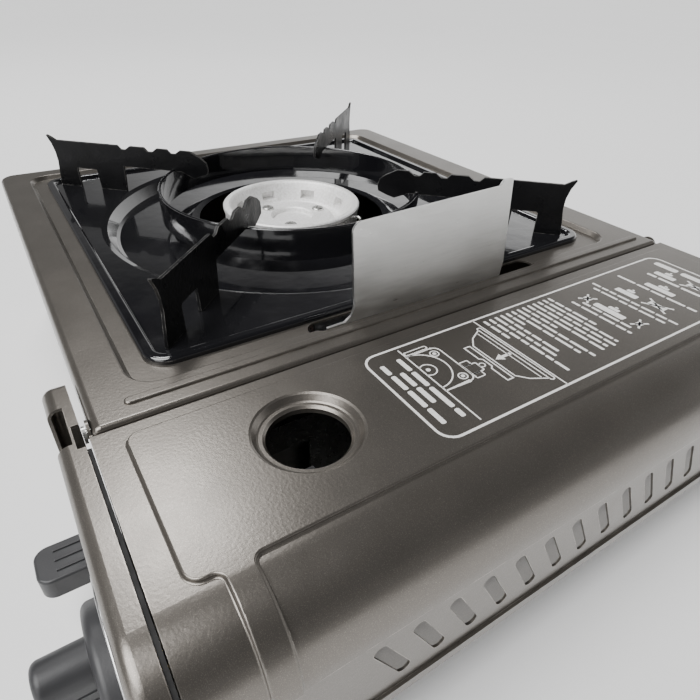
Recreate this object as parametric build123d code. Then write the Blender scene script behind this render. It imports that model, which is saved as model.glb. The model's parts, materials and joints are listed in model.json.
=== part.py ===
from build123d import *
import math
import os

os.makedirs("parts", exist_ok=True)

# A portable butane cassette stove with one burner. Millimetres, +Z up.
# The origin is on the floor under the middle of the whole stove. +X runs from the burner side to the
# canister side, +Y from the control panel to the back.

# Body envelope
TOP_Z = 86.0
BODY_LEFT = -167.0
BODY_DEPTH = 257.0
FRONT_Y = -BODY_DEPTH / 2
BACK_Y = BODY_DEPTH / 2
SHEET = 0.8

# Top panel over the burner side
PANEL_RIGHT = 84.8
PANEL_SKIRT_Z = 62.0
PANEL_CORNER = 8.0
PANEL_EDGE = 2.5
PANEL_SEAM_EDGE = 1.5
BURNER_X = -42.0
BURNER_Y = -2.0
RECESS_X = 227.0
RECESS_Y = 225.0
RECESS_DEPTH = 2.0
RECESS_SLOPE = 1.7
RECESS_CORNER = 10.0
PAN_OPENING = 196.0
LEDGE_Z = TOP_Z - RECESS_DEPTH
SLOT_RIGHT = 73.1
SLOT_WIDTH = 9.5
SLOT_FRONT = -52.5
SLOT_BACK = 59.5
RIB_X = 77.0
RIB_WIDTH = 3.2
RIB_HEIGHT = 0.8
RIB_LENGTH = 240.0

# Base tray and feet
FOOT_HEIGHT = 8.0
FOOT_RADIUS = 9.0
FOOT_Y = 112.0
FOOT_XS = {"left": -148.0, "right": 147.5}
BASE_LEFT = -164.5
BASE_RIGHT = 156.5
BASE_HALF_DEPTH = 127.0
BASE_TOP_Z = 80.0
BASE_SHEET = 1.0
BASE_FLOOR_Z = FOOT_HEIGHT + BASE_SHEET
BASE_CORNER = 7.0

# Guard plate that rises through the slot, one sheet with the partition below it
GUARD_RIGHT = 73.0
GUARD_SHEET = 1.0
GUARD_FRONT = -36.3
GUARD_BACK = 36.6
GUARD_TOP_FRONT = 121.8
GUARD_TOP_BACK = 123.6
GUARD_EAR = 2.2
GUARD_EAR_LENGTH = 5.5
GUARD_LEAN = 4.4
PARTITION_FRONT = -83.5
PARTITION_BACK = 121.5
PARTITION_TOP_Z = 81.5

# Drip pan
PAN_SIZE = 210.0
PAN_CORNER = 9.0
PAN_SHEET = 0.8
PAN_FLAT_Z = LEDGE_Z + PAN_SHEET
PAN_BEAD_WIDTH = 4.5
PAN_BEAD_HEIGHT = 1.5
PAN_STEP_OUTER = 94.6
PAN_STEP_INNER = 87.4
PAN_FLOOR_Z = 78.0
PAN_CONE_OUTER = 62.0
PAN_CONE_INNER = 52.0
PAN_COLLAR_Z = 82.5
PAN_HOLE = 48.0

# Pan support: a ring and four plate arms on the diagonals
RING_RADIUS = 66.0
RING_WALL = 1.4
RING_BOTTOM_Z = 85.3
RING_TOP_Z = 99.5
ARM_THICK = 1.2
ARM_FOOT_Z = PAN_FLAT_Z
ARM_TOP_Z = 109.4
ARM_REACH = 137.0
SPIKE_TOP_Z = 112.2
ARM_UNDER_Z = 98.4
ARM_NOTCH_RADII = (93.5, 77.8, 64.6)
ARM_NOTCH_DEPTH = 2.0
ARM_EDGE_ROUNDING = 0.35
ARM_SLOT_CLEARANCE = 0.02
ARM_ANGLES = {"back_right": 45, "back_left": 135, "front_left": 225, "front_right": 315}

# Burner
HEAD_RIM_RADIUS = 35.5
HEAD_RIM_Z = 88.5
HEAD_PORTS = 8
FLAME_TEETH = 64
BOWL_RADIUS = 20.0
BOWL_BOTTOM_Z = 44.0
TUBE_Z = 55.0
TUBE_RADIUS = 9.0
TUBE_FRONT_Y = -84.0
JET_Y = -92.0
ELECTRODE_X = BURNER_X + 40.0
ELECTRODE_Y = BURNER_Y + 17.4
PIPE_Y = -105.0
PIPE_Z = 29.0
PIPE_RADIUS = 2.5
WIRE_Y = -88.0
WIRE_Z = 13.5
WIRE_RADIUS = 1.2

# Canister lid
LID_LEFT = 85.4
LID_RIGHT = 164.0
LID_HALF = 129.4
LID_TOP_Z = 85.2
LID_BOTTOM_Z = 30.0
LID_SHOULDER = 20.0
LID_FLANGE = 8.0
LID_SEAM_FLANGE_Z = 73.0
LID_SEAM_LIP_Z = 84.4
LID_SEAM_ROUNDING = 0.6
PLATEAU_LEFT = 90.8
PLATEAU_RIGHT = 142.5
PLATEAU_HALF = 121.6
PLATEAU_RISE = 1.2
PLATEAU_ROUNDING = 0.55
TONGUE_Y = 110.7
TONGUE_WIDTH = 7.0
LID_HOLE_X = 114.25
LID_HOLE_Y = -78.0
LID_HOLE_RADIUS = 12.0
LID_DISH_RADIUS = 16.3
LID_LEDGE_RADIUS = 14.3
LID_DISH_DEPTH = 2.2
VENT_COUNT = 15
VENT_PITCH = 11.7
VENT_WIDTH = 4.0
VENT_LENGTH = 21.5
VENT_Z = 49.8
VENT_SLANT = 28.0
VENT_BAND_TOP = 65.0
VENT_BAND_BOTTOM = 34.0
HINGE_X = 80.2
HINGE_Z = 82.0
HINGE_PIN = 1.5
PIN_STAND_OFF = 0.4
PIN_HEAD = 0.9
HINGE_EAR = 4.0

# Canister bay
BAY_X = 120.0
BAY_Z = 45.4
CANISTER_RADIUS = 33.0
CANISTER_FRONT = -80.5
CANISTER_LENGTH = 185.0
REGULATOR_LEFT = 106.0
REGULATOR_RIGHT = 140.0
REGULATOR_FRONT = -120.0
REGULATOR_BACK = -90.0
REGULATOR_BOTTOM = 22.0
REGULATOR_TOP = 58.0
REGULATOR_CORNER = 2.5
EAR_LEFTS = (REGULATOR_LEFT, REGULATOR_LEFT + 9.0)
EAR_WIDTH = 4.0
EAR_LENGTH = 6.0
EAR_MARGIN = 2.0
SPOUT_LENGTH = 4.5
SPOUT_RADIUS = 12.0
INLET_RADIUS = 2.6
SEAL_RADIUS = 5.0
SEAL_SEAT_DEPTH = 2.0
SEAL_BORE = 2.8
CHAMBER_HEIGHT = 6.0
CHAMBER_FLOOR = 1.5
CAVITY_RADIUS = 10.5
DIAPHRAGM_THICK = 0.8
COVER_FLANGE = 1.5
COVER_DOME_RADIUS = 9.5
COVER_DOME_HEIGHT = 9.0
COVER_WALL = 1.5
CHAMBER_SCREW_REACH = 9.0
CHAMBER_SCREW_RADIUS = 0.99
SOCKET_RADIUS = 19.0
SOCKET_RIM_RADIUS = 17.5
SOCKET_FRONT = REGULATOR_BACK
SOCKET_BACK = -84.0
SOCKET_FLOOR = 2.5
CLIP_X = 120.0
GUIDE_HALF_WIDTH = 4.5
GUIDE_NOTCH_HALF = 1.5
GUIDE_SHEET = 1.2
GUIDE_BOTTOM = 59.5
GUIDE_TOP = 73.0
GUIDE_BACK = -77.5
CHAMBER_X = 122.0
CHAMBER_Y = -105.7
CHAMBER_RADIUS = 15.0
CUTOUT_Z = 33.0
CUTOUT_RADIUS = 2.6
CUTOUT_BORE_END = -100.0

# Control panel
CONTROL_LEFT = 52.0
CONTROL_RIGHT = 163.5
CONTROL_FACE_Y = -138.3
CONTROL_BACK_Y = -130.9
CONTROL_TOP_Z = 82.5
CONTROL_SHEET = 1.0
CONTROL_EDGE = 3.5
SPINDLE_X = 130.0
SPINDLE_Z = 45.0
SPINDLE_RADIUS = 3.0
SPINDLE_FRONT = -150.0
SPINDLE_END = -100.0
CAM_FRONT_Y = -124.0
CAM_THICK = 3.0
CAM_RADIUS = 7.5
CAM_ARM_REACH = 20.0
CAM_ARM_HALF = 4.0
SPINDLE_NOTCH_CLEARANCE = 1.5
KNOB_RADIUS = 21.0
IGNITER_X = 148.0
LEVER_SLOT_LEFT = 65.3
LEVER_SLOT_RIGHT = 83.0
LEVER_SLOT_BOTTOM = 22.0
LEVER_SLOT_DEPTH = 4.6

# Lock lever
PIVOT_Y = -104.0
PIVOT_Z = 42.0
PIVOT_RADIUS = 2.5
LEVER_X = 77.0
LEVER_THICK = 2.0
LEVER_HUB = 6.0
FORK_HEIGHT = 10.0
FORK_REST_ANGLE = 30.0
FORK_SLOT = 4.8
FOLLOWER_RADIUS = 2.0
GRIP_LEFT = 66.9
GRIP_RIGHT = 81.9
GRIP_TIP_Y = -156.1
GRIP_ROOT_Y = -136.0
GRIP_TOP_Z = 32.0
GRIP_THICK = 8.0
GRIP_CORNER = 4.5
RUNNING = 0.05


# The parts are drawn about the middle of the body and written about the middle of the whole stove
BOX_MIDDLE_X = (BODY_LEFT + LID_RIGHT + PLATEAU_RISE) / 2
BOX_MIDDLE_Y = (GRIP_TIP_Y + LID_HALF + PIN_STAND_OFF + PIN_HEAD) / 2

# Canister carriage and the studs that it slides on
CARRIAGE_LEFT = 80.0
CARRIAGE_RIGHT = 153.0
CARRIAGE_FRONT = -60.0
CARRIAGE_BACK = 106.5
CARRIAGE_RISE = 1.6
CARRIAGE_WALL = 1.0
CARRIAGE_LIP_TOP_Z = 18.0
STOP_TOP_Z = 52.0
DRAG_ARM_FRONT = -113.0
DRAG_ARM_TOP_Z = 58.0
DRAG_ARM_HEIGHT = 12.0
STUD_XS = (100.0, 140.0)
STUD_YS = (-29.5, 76.5)
STUD_RADIUS = 2.5
STUD_HEIGHT = 2.7
STUD_HEAD_RADIUS = 4.4
STUD_HEAD = 0.5
STUD_SLOT_LENGTH = 19.0
STUD_SLOT_WIDTH = 6.0
STUD_REST_OFFSET = 6.5


def save(shape, node):
    """Write one node of the assembly."""
    placed = Pos(-BOX_MIDDLE_X, -BOX_MIDDLE_Y, 0) * shape
    placed.label = node
    export_step(placed, f"parts/{node}.step")


def block(x0, x1, y0, y1, z0, z1):
    """An axis-aligned box from its six limits."""
    centre = ((x0 + x1) / 2, (y0 + y1) / 2, (z0 + z1) / 2)
    return Pos(*centre) * Box(x1 - x0, y1 - y0, z1 - z0)


def rounded_block(x0, x1, y0, y1, z0, z1, radius):
    """A box with rounded vertical edges."""
    plan = RectangleRounded(x1 - x0, y1 - y0, radius)
    return Pos((x0 + x1) / 2, (y0 + y1) / 2, z0) * extrude(plan, z1 - z0)


def rod(start, end, radius):
    """A round bar between two points."""
    span = Vector(*end) - Vector(*start)
    return extrude(Plane(origin=start, z_dir=span) * Circle(radius), span.length)


def turned(points, x, y):
    """A solid of revolution about a vertical axis, from (radius, z) points."""
    outline = make_face(Plane.XZ * Polyline(*points, close=True))
    return Pos(x, y, 0) * revolve(outline, Axis.Z)


def side_plate(points, x, thickness):
    """A plate in the YZ plane from (y, z) points, growing towards +X."""
    outline = make_face(Polyline(*points, close=True))
    return extrude(Plane(origin=(x, 0, 0), x_dir=(0, 1, 0), z_dir=(1, 0, 0)) * outline, thickness)


def side_obround(y, z, length, width, angle, x, thickness):
    """A long round-ended plug in the YZ plane, growing towards +X."""
    outline = Pos(y, z) * Rot(0, 0, angle) * SlotOverall(length, width)
    return extrude(Plane(origin=(x, 0, 0), x_dir=(0, 1, 0), z_dir=(1, 0, 0)) * outline, thickness)


def screw(head_at, direction, head_radius=3.2, length=8.0):
    """A cross-recessed pan-head screw. head_at is under the head, direction runs to the head's top."""
    plane = Plane(origin=head_at, z_dir=direction)
    head = extrude(Circle(head_radius), 1.2)
    head = fillet(head.edges().sort_by(Axis.Z)[-1], 0.6)
    recess = Pos(0, 0, 1.0) * (Box(head_radius, 0.7, 0.6) + Box(0.7, head_radius, 0.6))
    shank = Pos(0, 0, -length) * extrude(Circle(head_radius * 0.45), length)
    return plane * (head - recess + shank)


def coil(radius, wire, turns, length, plane):
    """A compression spring along the plane's normal."""
    path = Helix(pitch=length / turns, height=length, radius=radius)
    section = Plane(origin=path @ 0, z_dir=path % 0) * Circle(wire)
    return plane * sweep(section, path)


# ---------------------------------------------------------------- body sheet metal

def base_tray():
    outer = rounded_block(BASE_LEFT, BASE_RIGHT, -BASE_HALF_DEPTH, BASE_HALF_DEPTH,
                          FOOT_HEIGHT, BASE_TOP_Z, BASE_CORNER)
    inner = rounded_block(BASE_LEFT + BASE_SHEET, BASE_RIGHT - BASE_SHEET,
                          -BASE_HALF_DEPTH + BASE_SHEET, BASE_HALF_DEPTH - BASE_SHEET,
                          BASE_FLOOR_Z, BASE_TOP_Z + 1, BASE_CORNER - BASE_SHEET)
    outer = fillet(outer.faces().sort_by(Axis.Z)[0].edges(), 1.5)
    tray = outer - inner
    tray -= block(LID_LEFT, BASE_RIGHT + 1, -BODY_DEPTH, BODY_DEPTH, 72.0, TOP_Z)
    tray -= block(PANEL_RIGHT - 1.6, LID_LEFT, -BODY_DEPTH, BODY_DEPTH, PANEL_SKIRT_Z - 1, TOP_Z)
    front = (-BASE_HALF_DEPTH - 1, -BASE_HALF_DEPTH + 2)
    tray -= block(LEVER_SLOT_LEFT, LEVER_SLOT_RIGHT + 2, *front, 14.0, BASE_TOP_Z + 1)
    tray -= rod((SPINDLE_X, front[0], SPINDLE_Z), (SPINDLE_X, front[1], SPINDLE_Z), SPINDLE_RADIUS + 2)
    for x in FOOT_XS.values():
        for y in (-FOOT_Y, FOOT_Y):
            tray -= Pos(x, y, FOOT_HEIGHT) * Cylinder(1.9, 4)
    air_slot = extrude(SlotOverall(34, 5), 4)
    for row in range(5):
        for side in (-1, 1):
            tray -= Pos(BURNER_X + side * 70, -48 + row * 24, FOOT_HEIGHT - 1) * air_slot
    return tray


def foot(x, y):
    pad = Pos(x, y, 0) * extrude(Circle(FOOT_RADIUS), FOOT_HEIGHT)
    pad = fillet(pad.edges().sort_by(Axis.Z)[0], 1.2)
    bore = Pos(x, y, FOOT_HEIGHT - 3) * Cylinder(1.44, 6.02)
    return pad - bore


def foot_screws():
    return Compound(children=[screw((x, y, BASE_FLOOR_Z), (0, 0, 1), length=4.0)
                              for x in FOOT_XS.values() for y in (-FOOT_Y, FOOT_Y)])


def panel_form(inset):
    """The top panel's outside form, or with an inset the form of its inside."""
    left = BODY_LEFT + inset
    right = PANEL_RIGHT - inset
    front = FRONT_Y + inset
    back = BACK_Y - inset
    form = block(left, right, front, back, PANEL_SKIRT_Z, TOP_Z - inset)
    corners = form.edges().filter_by(Axis.Z).sort_by(Axis.X)
    form = fillet(corners[:2], PANEL_CORNER - inset)
    rim = form.faces().sort_by(Axis.Z)[-1].edges()
    outer_rim = [edge for edge in rim if edge.center().X < right - 1]
    form = fillet(outer_rim, PANEL_EDGE - inset)
    seam = [edge for edge in form.edges().filter_by(Axis.Y) if edge.center().X > right - 0.1]
    form = fillet(max(seam, key=lambda edge: edge.center().Z), PANEL_SEAM_EDGE - inset)
    grow = 2 * inset - 2 * RECESS_SLOPE
    floor_plan = RectangleRounded(RECESS_X + grow, RECESS_Y + grow, RECESS_CORNER + grow / 2)
    slope_angle = math.degrees(math.atan(RECESS_SLOPE / RECESS_DEPTH))
    recess = Pos(BURNER_X, BURNER_Y, LEDGE_Z - inset) * extrude(
        floor_plan, RECESS_DEPTH + 1, taper=-slope_angle)
    return form - recess


def top_panel():
    shell = panel_form(0) - panel_form(SHEET)
    step = [edge for edge in shell.edges().filter_by_position(Axis.Z, TOP_Z - 0.01, TOP_Z + 0.01)
            if abs(edge.center().X - BURNER_X) < RECESS_X / 2 + 1
            and abs(edge.center().Y - BURNER_Y) < RECESS_Y / 2 + 1]
    shell = fillet(step, 0.7)
    opening = Pos(BURNER_X, BURNER_Y, LEDGE_Z - 2) * extrude(
        RectangleRounded(PAN_OPENING, PAN_OPENING, RECESS_CORNER), 6)
    slot_mid = (SLOT_RIGHT - SLOT_WIDTH / 2, (SLOT_FRONT + SLOT_BACK) / 2)
    slot = Pos(*slot_mid, LEDGE_Z - 3) * extrude(
        Rot(0, 0, 90) * SlotOverall(SLOT_BACK - SLOT_FRONT, SLOT_WIDTH), 8)
    rib = Pos(RIB_X, 2.0, TOP_Z - 0.5) * extrude(
        Rot(0, 0, 90) * SlotOverall(RIB_LENGTH, RIB_WIDTH), RIB_HEIGHT + 0.5)
    rib = fillet(rib.faces().sort_by(Axis.Z)[-1].edges(), 0.6)
    shell = shell - opening - slot + rib
    for y in (FRONT_Y, BACK_Y):
        shell -= rod((HINGE_X, y - 2, HINGE_Z), (HINGE_X, y + 2, HINGE_Z), HINGE_PIN)
    return shell


def hinge_pins():
    pins = []
    for side in (-1, 1):
        inner = side * (BACK_Y - SHEET)
        outer = side * (LID_HALF + PIN_STAND_OFF)
        shank = rod((HINGE_X, inner - side * 1.5, HINGE_Z), (HINGE_X, outer, HINGE_Z), HINGE_PIN)
        head = rod((HINGE_X, outer, HINGE_Z), (HINGE_X, outer + side * PIN_HEAD, HINGE_Z), 2.6)
        pins.append(shank + head)
    return Compound(children=pins)


def guard_partition():
    """The wall between burner and canister, with the tongue that keeps wide pans off the canister."""
    left = GUARD_RIGHT - GUARD_SHEET
    wall = block(left, GUARD_RIGHT, PARTITION_FRONT, PARTITION_BACK, BASE_FLOOR_Z, PARTITION_TOP_Z)
    wall -= block(left - 1, GUARD_RIGHT + 1, -22, 32, BASE_FLOOR_Z - 1, BASE_FLOOR_Z + 4)
    for front, back in ((PARTITION_FRONT, -30), (45, PARTITION_BACK)):
        wall += block(left - 11, left, front, back, BASE_FLOOR_Z, BASE_FLOOR_Z + 1)
    foot_front = SLOT_FRONT + SLOT_WIDTH / 2
    wall += block(left, GUARD_RIGHT, foot_front, GUARD_BACK - 1.2, PARTITION_TOP_Z - 1, TOP_Z + 0.6)
    tongue = side_plate([(GUARD_FRONT, TOP_Z + 0.2), (GUARD_BACK - 1.2, TOP_Z + 0.2),
                         (GUARD_BACK, TOP_Z + 6), (GUARD_BACK, GUARD_TOP_BACK + GUARD_EAR),
                         (GUARD_BACK - GUARD_EAR_LENGTH + 1, GUARD_TOP_BACK + GUARD_EAR),
                         (GUARD_BACK - GUARD_EAR_LENGTH - 1, GUARD_TOP_BACK),
                         (GUARD_FRONT, GUARD_TOP_FRONT)], left, GUARD_SHEET)
    uprights = tongue.edges().filter_by(Axis.X)
    front_corner = uprights.sort_by(lambda e: (e.center().Y, -e.center().Z))[:2]
    top_front = max(front_corner, key=lambda e: e.center().Z)
    tongue = fillet(top_front, 3.5)
    ear = max(tongue.edges().filter_by(Axis.X), key=lambda e: e.center().Z + e.center().Y)
    tongue = fillet(ear, 1.0)
    toe = side_plate([(GUARD_FRONT, TOP_Z + 0.4), (GUARD_FRONT, TOP_Z + 5.5), (GUARD_FRONT - 1.4, TOP_Z + 2.4),
                      (GUARD_FRONT - 4.5, TOP_Z + 0.4)], left, GUARD_SHEET)
    hinge = Axis((left, 0, TOP_Z), (0, 1, 0))
    leaning = (tongue + toe).rotate(hinge, -GUARD_LEAN)
    return wall + leaning


# ---------------------------------------------------------------- drip pan and pan support

def pan_sheet(drop):
    """The drip pan's upper surface as a solid down to a deep plane, lowered by drop."""
    deep = 70.0
    flat = Pos(BURNER_X, BURNER_Y, deep) * extrude(
        RectangleRounded(PAN_SIZE, PAN_SIZE, PAN_CORNER), PAN_FLAT_Z - drop - deep)
    bead_out = RectangleRounded(PAN_SIZE - 2 * drop, PAN_SIZE - 2 * drop, PAN_CORNER - drop)
    bead_in = RectangleRounded(PAN_SIZE - 2 * PAN_BEAD_WIDTH + 2 * drop,
                               PAN_SIZE - 2 * PAN_BEAD_WIDTH + 2 * drop, PAN_CORNER - PAN_BEAD_WIDTH + drop)
    bead = Pos(BURNER_X, BURNER_Y, PAN_FLAT_Z - drop) * extrude(bead_out - bead_in, PAN_BEAD_HEIGHT)
    bead = fillet(bead.faces().sort_by(Axis.Z)[-1].edges(), 1.4 - drop * 0.6)
    well = turned([(0, PAN_FLAT_Z + 9), (PAN_STEP_OUTER + drop, PAN_FLAT_Z + 9),
                   (PAN_STEP_OUTER + drop, PAN_FLAT_Z - drop), (PAN_STEP_OUTER - 2.5, PAN_FLAT_Z - 1 - drop),
                   (PAN_STEP_INNER + 1.5 + drop / 2, PAN_FLOOR_Z + 0.8 - drop),
                   (PAN_STEP_INNER, PAN_FLOOR_Z - drop), (PAN_CONE_OUTER, PAN_FLOOR_Z - drop),
                   (PAN_CONE_INNER + 1.5, PAN_COLLAR_Z - 0.6 - drop), (PAN_CONE_INNER, PAN_COLLAR_Z - drop),
                   (0, PAN_COLLAR_Z - drop)], BURNER_X, BURNER_Y)
    return flat + bead - well


def drip_pan():
    sheet = pan_sheet(0) - pan_sheet(PAN_SHEET)
    hole = Pos(BURNER_X, BURNER_Y, 60) * extrude(Circle(PAN_HOLE), 40)
    sheet = sheet - hole
    limit = Pos(BURNER_X, BURNER_Y, 71) * extrude(RectangleRounded(PAN_SIZE, PAN_SIZE, PAN_CORNER), 30)
    return sheet & limit


def support_ring():
    outer = extrude(Circle(RING_RADIUS), RING_TOP_Z - RING_BOTTOM_Z)
    inner = extrude(Circle(RING_RADIUS - RING_WALL), RING_TOP_Z - RING_BOTTOM_Z)
    ring = outer - inner
    ring = fillet(ring.faces().sort_by(Axis.Z)[-1].edges(), 0.6)
    return Pos(BURNER_X, BURNER_Y, RING_BOTTOM_Z) * ring


def arm_outline():
    """One arm seen from its side, as (radius from the burner, height)."""
    tip = [(45.4, 101.1), (45.8, 98.5), (50.0, 96.8), (54.0, 95.5), (58.5, 97.3), (61.0, ARM_UNDER_Z)]
    inner_foot = [(95.0, ARM_UNDER_Z), (95.4, 91.0), (96.0, ARM_FOOT_Z), (111.6, ARM_FOOT_Z)]
    window = [(112.2, 95.2), (123.6, 95.4), (124.4, 94.4), (124.2, ARM_FOOT_Z)]
    outer_foot = [(ARM_REACH, ARM_FOOT_Z), (136.2, 92.5), (135.4, 98.0), (135.6, 103.0), (136.8, 107.5)]
    spike = [(139.2, SPIKE_TOP_Z), (136.4, 111.0), (133.6, ARM_TOP_Z)]
    nose = [(55.0, ARM_TOP_Z), (49.3, 106.6), (46.3, 104.2)]
    notches = [point for radius in ARM_NOTCH_RADII for point in arm_notch(radius)]
    return tip + inner_foot + window + outer_foot + spike + notches + nose


def arm_notch(radius):
    """A pan-grip notch in the arm's top edge, steeper on its outer side."""
    return [(radius + 3.4, ARM_TOP_Z), (radius + 1.4, ARM_TOP_Z - ARM_NOTCH_DEPTH),
            (radius - 1.2, ARM_TOP_Z - ARM_NOTCH_DEPTH), (radius - 4.0, ARM_TOP_Z)]


def support_arm(angle):
    outline = make_face(Polyline(*arm_outline(), close=True))
    outline = fillet(outline.vertices(), ARM_EDGE_ROUNDING)
    outline -= Pos(RING_RADIUS - RING_WALL / 2, ARM_UNDER_Z) * Rectangle(
        RING_WALL + 2 * ARM_SLOT_CLEARANCE, 2 * (RING_TOP_Z - ARM_UNDER_Z))
    plate = extrude(Plane.XZ.offset(-ARM_THICK / 2) * outline, ARM_THICK)
    return Pos(BURNER_X, BURNER_Y, 0) * Rot(0, 0, angle) * plate


# ---------------------------------------------------------------- burner

def burner_head():
    head = turned([(0, 75.5), (29.5, 75.5), (33.0, 79.5), (33.0, 85.5), (HEAD_RIM_RADIUS, 86.4),
                   (HEAD_RIM_RADIUS, HEAD_RIM_Z - 0.6), (HEAD_RIM_RADIUS - 0.6, HEAD_RIM_Z),
                   (32.6, HEAD_RIM_Z), (31.6, HEAD_RIM_Z - 0.8), (30.6, HEAD_RIM_Z - 2.6), (27.2, 78.9),
                   (25.8, 78.0), (23.0, 78.0), (21.0, 80.6), (20.0, 81.0), (11.4, 81.0), (10.6, 80.4),
                   (10.4, 78.6), (0, 78.6)], BURNER_X, BURNER_Y)
    for i in range(HEAD_PORTS):
        port = Rot(0, 0, i * 360 / HEAD_PORTS) * Pos(30.5, 0, 82.2) * Box(6.5, 8.0, 4.4)
        head -= Pos(BURNER_X, BURNER_Y, 0) * port
    for i in range(3):
        hole = Rot(0, 0, 90 + i * 120) * Pos(15.6, 0, 78) * Cylinder(1.44, 8)
        head -= Pos(BURNER_X, BURNER_Y, 0) * hole
    return head


def burner_screws():
    screws = []
    for i in range(3):
        angle = math.radians(90 + i * 120)
        at = (BURNER_X + 15.6 * math.cos(angle), BURNER_Y + 15.6 * math.sin(angle), 81.0)
        screws.append(screw(at, (0, 0, 1), length=5.0))
    return Compound(children=screws)


def burner_flame_ring():
    ring = extrude(Circle(34.8) - Circle(33.05), 8.4)
    notch = Pos(34.6, 0, 4.4) * Box(1.6, 1.2, 8.9)
    for i in range(FLAME_TEETH):
        ring -= Rot(0, 0, i * 360 / FLAME_TEETH) * notch
    return Pos(BURNER_X, BURNER_Y, 76.9) * ring


def burner_bowl():
    low = BOWL_BOTTOM_Z
    bowl = turned([(0, low), (19, low), (BOWL_RADIUS, low + 1), (BOWL_RADIUS, 65), (32.4, 73), (34.0, 75.6),
                   (34.0, 76.8), (33.05, 76.8), (31.2, 74.0), (18.6, 65.8), (18.6, low + 1.4),
                   (0, low + 1.4)], BURNER_X, BURNER_Y)
    port = rod((BURNER_X, BURNER_Y - 25, TUBE_Z), (BURNER_X, BURNER_Y - 12, TUBE_Z), TUBE_RADIUS)
    return bowl - port


def mixing_tube():
    start = TUBE_FRONT_Y
    end = BURNER_Y - 17.0
    outline = [(TUBE_RADIUS - 1, end), (TUBE_RADIUS, end), (TUBE_RADIUS, start + 26), (7.0, start + 14),
               (11.5, start), (10.4, start), (6.0, start + 14), (TUBE_RADIUS - 1, start + 26)]
    section = make_face(Polyline(*outline, close=True))
    tube = revolve(section, Axis.Y)
    return Pos(BURNER_X, 0, TUBE_Z) * tube


def gas_jet():
    back = Plane(origin=(BURNER_X, JET_Y - 4, TUBE_Z), z_dir=(0, 1, 0))
    stem = extrude(Circle(3.0), 6)
    hexagon = Pos(0, 0, 6) * extrude(RegularPolygon(5.2, 6), 4)
    nose = Pos(0, 0, 10) * extrude(Circle(2.6), 6, taper=12)
    return back * (stem + hexagon + nose - Cylinder(0.5, 60))


def jet_bracket():
    plate = block(BURNER_X - 11, BURNER_X + 11, JET_Y, JET_Y + 1.5, BASE_FLOOR_Z, 66)
    toe = block(BURNER_X - 11, BURNER_X + 11, JET_Y + 1.5, JET_Y + 13, BASE_FLOOR_Z, BASE_FLOOR_Z + 1.5)
    hole = rod((BURNER_X, JET_Y - 2, TUBE_Z), (BURNER_X, JET_Y + 4, TUBE_Z), 3.0)
    return plate + toe - hole


def burner_bracket():
    top = block(BURNER_X - 22, BURNER_X + 22, BURNER_Y - 10, BURNER_Y + 10, BOWL_BOTTOM_Z - 1.2, BOWL_BOTTOM_Z)
    legs = top
    for side in (-1, 1):
        x = BURNER_X + side * 21.4
        legs += block(x - 0.6, x + 0.6, BURNER_Y - 10, BURNER_Y + 10, BASE_FLOOR_Z, BOWL_BOTTOM_Z)
        legs += block(min(x, x + side * 10), max(x, x + side * 10), BURNER_Y - 10, BURNER_Y + 10,
                      BASE_FLOOR_Z, BASE_FLOOR_Z + 1.2)
    return legs


def heat_plate():
    floor = block(12, 146, -20, 30, BASE_FLOOR_Z, BASE_FLOOR_Z + 1.2)
    upright = block(12, 13.2, -20, 30, BASE_FLOOR_Z, 56)
    return fillet((floor + upright).edges().filter_by(Axis.Y).filter_by_position(Axis.X, 11.9, 12.1)[:1], 0.6)


# ---------------------------------------------------------------- gas supply

def gas_pipe():
    line = FilletPolyline((102.0, PIPE_Y, PIPE_Z), (BURNER_X, PIPE_Y, PIPE_Z), (BURNER_X, PIPE_Y, TUBE_Z),
                          (BURNER_X, JET_Y - 4, TUBE_Z), radius=5.0)
    section = Plane(origin=line @ 0, z_dir=line % 0) * Circle(PIPE_RADIUS)
    return sweep(section, line)


def pipe_nut():
    socket = Pos(0, 0, 1.5) * Cylinder(PIPE_RADIUS, 3.02)
    return Plane(origin=(99.0, PIPE_Y, PIPE_Z), z_dir=(1, 0, 0)) * (extrude(RegularPolygon(6.0, 6), 7) - socket)


def chamber_screw_places():
    reach = CHAMBER_SCREW_REACH
    return [(CHAMBER_X + dx * reach, CHAMBER_Y + dy * reach) for dx in (-1, 1) for dy in (-1, 1)]


def chamber_screw_holes():
    holes = [Pos(x, y, REGULATOR_TOP) * extrude(Circle(CHAMBER_SCREW_RADIUS), 20) for x, y in chamber_screw_places()]
    return holes[0] + holes[1:]


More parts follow.
